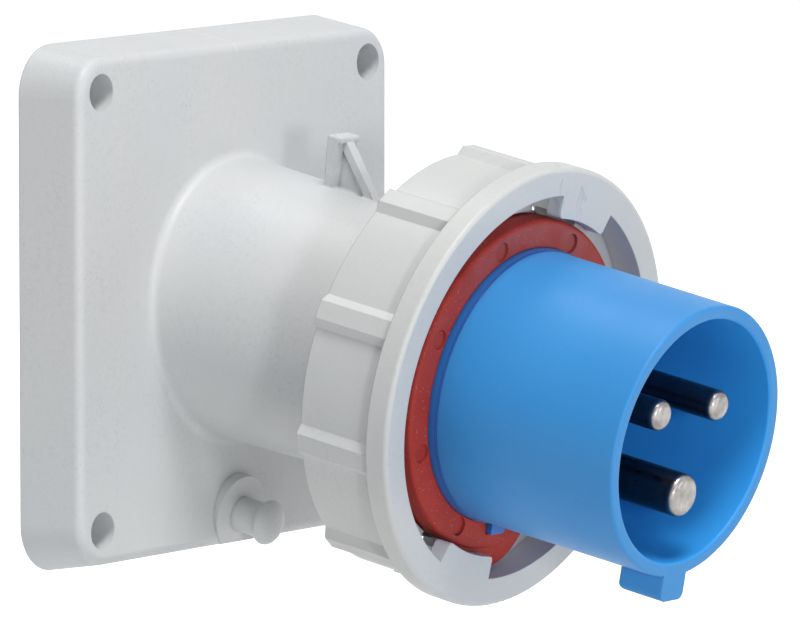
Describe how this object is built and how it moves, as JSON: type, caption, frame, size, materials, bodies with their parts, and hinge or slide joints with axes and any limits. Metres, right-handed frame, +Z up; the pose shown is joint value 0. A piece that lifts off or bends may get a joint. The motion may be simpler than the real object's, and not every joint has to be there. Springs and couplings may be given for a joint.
{
  "type": "pin and sleeve inlet",
  "caption": "Panel inlet with a square flange, a tilted neck, a ribbed locking ring, a blue shroud with a key, metal pins and a red face seal.",
  "frame": {"origin": "centre of the flange's back face, which lies on the panel, midway between the four screw holes", "axes": "+Z up, +Y into the panel, so the inlet stands out towards -Y; the sleeve's axis points 10.5 degrees below -Y; +X to the right seen from the front"},
  "size_m": [0.0844, 0.1056, 0.0887],
  "materials": {
    "housing_plastic": "satin moulded, pale grey",
    "ring_plastic": "satin moulded, off-white",
    "seal_rubber": "matte, brick red",
    "gasket_rubber": "matte black",
    "sleeve_plastic": "satin moulded, blue",
    "carrier_plastic": "matte black",
    "pin_metal": "nickel plated, smooth",
    "screw_steel": "zinc plated"
  },
  "bodies": {
    "inlet": {"housing": "housing_plastic", "flange_gasket": "gasket_rubber", "front_seal": "seal_rubber", "sleeve": "sleeve_plastic", "insert_o_ring": "gasket_rubber", "contact_carrier": "carrier_plastic", "carrier_screw": "screw_steel", "line_pin": "pin_metal", "line_terminal_screw": "screw_steel", "line_clamp_plate": "screw_steel", "neutral_pin": "pin_metal", "neutral_terminal_screw": "screw_steel", "neutral_clamp_plate": "screw_steel", "earth_pin": "pin_metal", "earth_terminal_screw": "screw_steel", "earth_clamp_plate": "screw_steel", "insert_screw_1": "screw_steel", "insert_screw_2": "screw_steel", "insert_screw_3": "screw_steel"},
    "ring": {"locking_ring": "ring_plastic"}
  },
  "joints": [
    {"name": "ring_turn", "type": "hinge", "parent": "inlet", "child": "ring", "pos_m": [0, -0.011, -0.00055], "axis": [0, -0.9833, -0.1822], "range_deg": [0, 40]}
  ]
}
